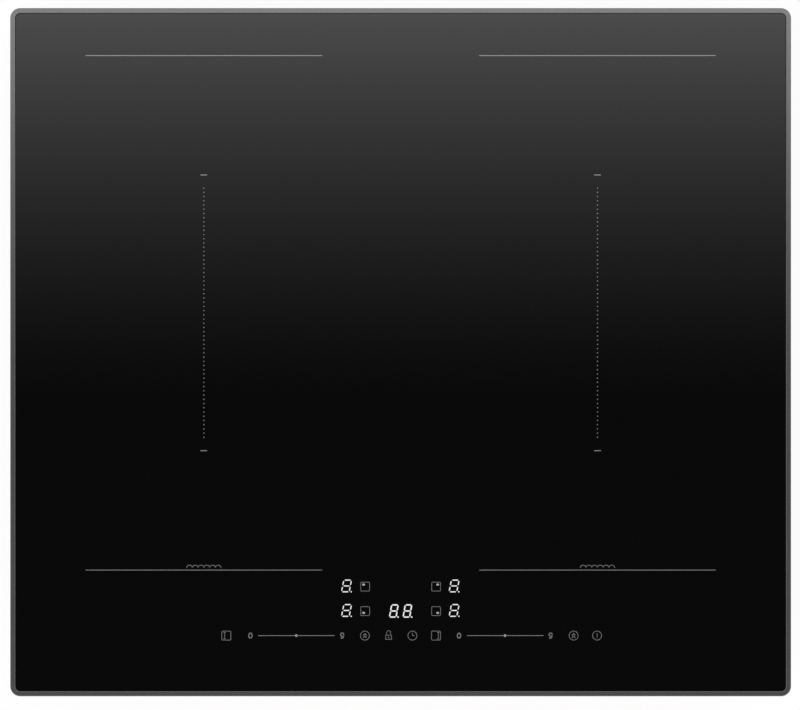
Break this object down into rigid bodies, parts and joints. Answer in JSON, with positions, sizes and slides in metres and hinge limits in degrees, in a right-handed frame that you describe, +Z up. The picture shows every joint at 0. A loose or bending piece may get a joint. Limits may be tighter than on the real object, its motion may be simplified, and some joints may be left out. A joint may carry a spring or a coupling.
{
  "type": "built-in induction cooktop",
  "caption": "Built-in induction hob with a framed black glass top, touch controls, sprung coils, blowers, stepped steel case, worktop clamps and a covered mains terminal.",
  "frame": {"origin": "under the middle of the glass, in the plane the case's feet stand on", "axes": "+X to the user's right, +Y away from the user (controls at -Y, mains entry at +Y), +Z up"},
  "size_m": [0.59, 0.52, 0.062],
  "materials": {
    "glass": "polished black glass-ceramic",
    "trim": "dark grey satin anodised",
    "seal": "black closed-cell foam",
    "zinc_steel": "galvanised sheet",
    "case_steel": "galvanised sheet, light spangle",
    "screw_steel": "zinc-plated",
    "spring_steel": "bright spring wire",
    "tray_alu": "mill finish",
    "sink_alu": "extruded",
    "former_plastic": "glass-filled nylon",
    "copper": "enamelled copper litz",
    "ferrite": "sintered ferrite",
    "mica": "pressed mica",
    "sensor_rubber": "silicone",
    "board_green": "solder-masked circuit board",
    "part_black": "moulded component bodies",
    "nylon": "natural nylon",
    "black_plastic": "moulded, fine texture",
    "grey_plastic": "moulded, fine texture",
    "display_plastic": "display face",
    "lead_insulation": "lead insulation",
    "ribbon_grey": "flat cable"
  },
  "bodies": {
    "hob": {"blower_housing_left": "black_plastic", "blower_housing_right": "black_plastic", "blower_lid_left": "black_plastic", "blower_lid_right": "black_plastic", "blower_stator_left": "zinc_steel", "blower_stator_right": "zinc_steel", "board_spacers": "nylon", "cable_gland": "black_plastic", "case_pan": "case_steel", "case_rim": "case_steel", "case_screws": "screw_steel", "clamp_pivot_screws": "screw_steel", "coil_rails": "zinc_steel", "coil_springs_left": "spring_steel", "coil_springs_right": "spring_steel", "control_board": "board_green", "control_ribbon": "ribbon_grey", "control_tray": "grey_plastic", "display_modules": "display_plastic", "filter_board": "board_green", "filter_parts": "part_black", "glass_carrier": "zinc_steel", "glass_panel": "glass", "heatsink_left": "sink_alu", "heatsink_right": "sink_alu", "mains_leads": "lead_insulation", "power_board_left": "board_green", "power_board_right": "board_green", "power_parts_left": "part_black", "power_parts_right": "part_black", "terminal_block": "nylon", "terminal_box": "black_plastic", "touch_springs": "spring_steel", "trim_frame": "trim", "worktop_seal": "seal"},
    "coil_set_left": {"coil_tray_left": "tray_alu", "coil_formers_left": "former_plastic", "ferrite_bars_left": "ferrite", "mica_sheets_left": "mica", "temperature_sensors_left": "sensor_rubber", "coil_winding_rear_left": "copper", "coil_winding_front_left": "copper"},
    "blower_wheel_left": {"blower_impeller_left": "black_plastic"},
    "clamp_front_left": {"clamp_arm_front_left": "zinc_steel"},
    "jack_front_left": {"jack_screw_front_left": "screw_steel"},
    "clamp_rear_left": {"clamp_arm_rear_left": "zinc_steel"},
    "jack_rear_left": {"jack_screw_rear_left": "screw_steel"},
    "coil_set_right": {"coil_tray_right": "tray_alu", "coil_formers_right": "former_plastic", "ferrite_bars_right": "ferrite", "mica_sheets_right": "mica", "temperature_sensors_right": "sensor_rubber", "coil_winding_rear_right": "copper", "coil_winding_front_right": "copper"},
    "blower_wheel_right": {"blower_impeller_right": "black_plastic"},
    "clamp_front_right": {"clamp_arm_front_right": "zinc_steel"},
    "jack_front_right": {"jack_screw_front_right": "screw_steel"},
    "clamp_rear_right": {"clamp_arm_rear_right": "zinc_steel"},
    "jack_rear_right": {"jack_screw_rear_right": "screw_steel"},
    "terminal_flap": {"terminal_cover": "black_plastic"}
  },
  "joints": [
    {"name": "coil_float_left", "type": "slide", "parent": "hob", "child": "coil_set_left", "axis": [0, 0, 1], "range_m": [-0.003, 0], "stiffness_N_per_m": 4000, "springref_m": 0.01, "deforming": ["coil_springs_left"]},
    {"name": "blower_spin_left", "type": "hinge", "parent": "hob", "child": "blower_wheel_left", "pos_m": [-0.054, 0.163, 0.0165], "axis": [0, 0, 1], "continuous": true},
    {"name": "clamp_swing_front_left", "type": "hinge", "parent": "hob", "child": "clamp_front_left", "pos_m": [-0.268, -0.176, 0.0288], "axis": [0, 0, 1], "range_deg": [0, 90]},
    {"name": "jack_lift_front_left", "type": "slide", "parent": "clamp_front_left", "child": "jack_front_left", "axis": [0, 0, 1], "range_m": [0, 0.008]},
    {"name": "clamp_swing_rear_left", "type": "hinge", "parent": "hob", "child": "clamp_rear_left", "pos_m": [-0.268, 0.176, 0.0288], "axis": [0, 0, -1], "range_deg": [0, 90]},
    {"name": "jack_lift_rear_left", "type": "slide", "parent": "clamp_rear_left", "child": "jack_rear_left", "axis": [0, 0, 1], "range_m": [0, 0.008]},
    {"name": "coil_float_right", "type": "slide", "parent": "hob", "child": "coil_set_right", "axis": [0, 0, 1], "range_m": [-0.003, 0], "stiffness_N_per_m": 4000, "springref_m": 0.01, "deforming": ["coil_springs_right"]},
    {"name": "blower_spin_right", "type": "hinge", "parent": "hob", "child": "blower_wheel_right", "pos_m": [0.054, 0.163, 0.0165], "axis": [0, 0, 1], "continuous": true},
    {"name": "clamp_swing_front_right", "type": "hinge", "parent": "hob", "child": "clamp_front_right", "pos_m": [0.268, -0.176, 0.0288], "axis": [0, 0, -1], "range_deg": [0, 90]},
    {"name": "jack_lift_front_right", "type": "slide", "parent": "clamp_front_right", "child": "jack_front_right", "axis": [0, 0, 1], "range_m": [0, 0.008]},
    {"name": "clamp_swing_rear_right", "type": "hinge", "parent": "hob", "child": "clamp_rear_right", "pos_m": [0.268, 0.176, 0.0288], "axis": [0, 0, 1], "range_deg": [0, 90]},
    {"name": "jack_lift_rear_right", "type": "slide", "parent": "clamp_rear_right", "child": "jack_rear_right", "axis": [0, 0, 1], "range_m": [0, 0.008]},
    {"name": "terminal_cover_hinge", "type": "hinge", "parent": "hob", "child": "terminal_flap", "pos_m": [-0.198, 0.2258, 0.0255], "axis": [1, 0, 0], "range_deg": [0, 90]}
  ]
}
